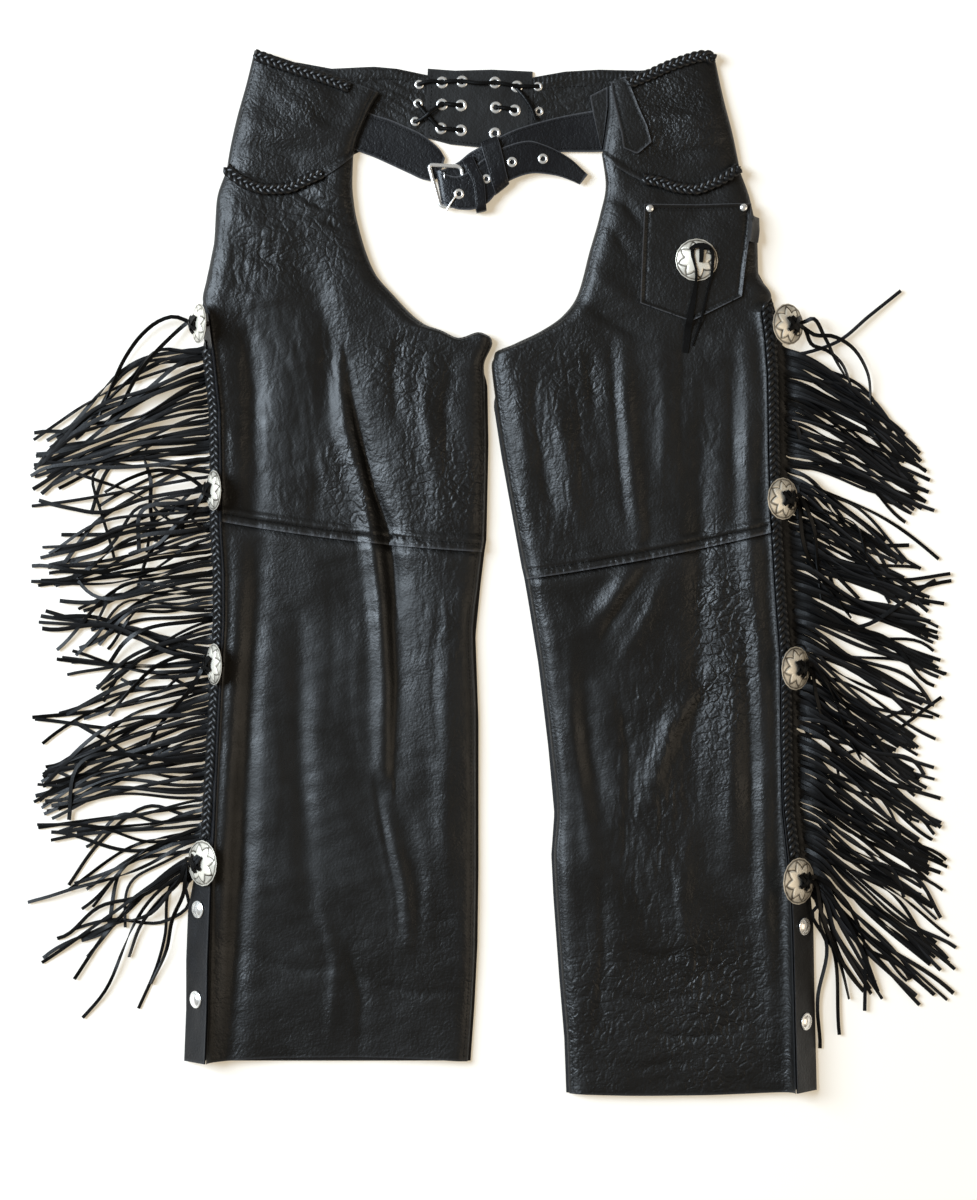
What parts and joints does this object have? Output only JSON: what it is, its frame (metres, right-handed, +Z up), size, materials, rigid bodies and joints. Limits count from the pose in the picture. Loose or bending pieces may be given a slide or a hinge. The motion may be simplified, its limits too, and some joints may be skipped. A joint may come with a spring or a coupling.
{
  "type": "fringed leather chaps",
  "caption": "Black leather riding chaps laid flat, with fringed and braided side seams, metal conchos, hip pocket, laced back and buckled belt.",
  "frame": {"origin": "on the floor, under the middle of the whole object's box", "axes": "+Z up from the floor; +Y towards the waist end, along the legs; +X towards the right of the garment as it lies, seen from above"},
  "size_m": [0.8955, 0.9943, 0.042],
  "materials": {
    "leather": "black pebbled leather, satin, creased",
    "fringe_leather": "black cut leather thong, dull edges",
    "braid_leather": "black braided leather lace, satin",
    "belt_leather": "black smooth strap leather, satin, scuffed",
    "concho_metal": "stamped nickel silver, worn satin",
    "nickel": "bright nickel plate",
    "label_cloth": "black woven tape, bare"
  },
  "bodies": {
    "root": {"yoke_front_left": "leather", "yoke_front_right": "leather", "thigh_front_left": "leather", "thigh_front_right": "leather", "shin_front_left": "leather", "shin_front_right": "leather", "leg_back_left": "leather", "leg_back_right": "leather", "yoke_back_left": "leather", "yoke_back_right": "leather", "lacing_panel": "leather", "side_flap_left": "leather", "side_flap_right": "leather", "fringe_left": "fringe_leather", "fringe_right": "fringe_leather", "side_braid_left": "braid_leather", "side_braid_right": "braid_leather", "waist_braid_left": "braid_leather", "waist_braid_right": "braid_leather", "hip_braid_left": "braid_leather", "hip_braid_right": "braid_leather", "concho_left_1": "concho_metal", "concho_left_2": "concho_metal", "concho_left_3": "concho_metal", "concho_left_4": "concho_metal", "concho_right_1": "concho_metal", "concho_right_2": "concho_metal", "concho_right_3": "concho_metal", "concho_right_4": "concho_metal", "pocket_concho": "concho_metal", "snap_left_1": "nickel", "snap_left_2": "nickel", "snap_right_1": "nickel", "snap_right_2": "nickel", "pocket": "leather", "pocket_rivet_1": "nickel", "pocket_rivet_2": "nickel", "pocket_thong": "fringe_leather", "label_tab": "label_cloth", "belt_strap_left": "belt_leather", "belt_strap_right": "belt_leather", "keeper_wide": "belt_leather", "keeper_narrow": "belt_leather", "buckle_frame": "nickel", "buckle_prong": "nickel", "yoke_flap_right": "leather", "belt_loop_right": "leather", "lace_top": "fringe_leather", "lace_left_down": "fringe_leather", "lace_left_up": "fringe_leather", "lace_right_row": "fringe_leather", "lace_right_down": "fringe_leather"}
  },
  "joints": []
}
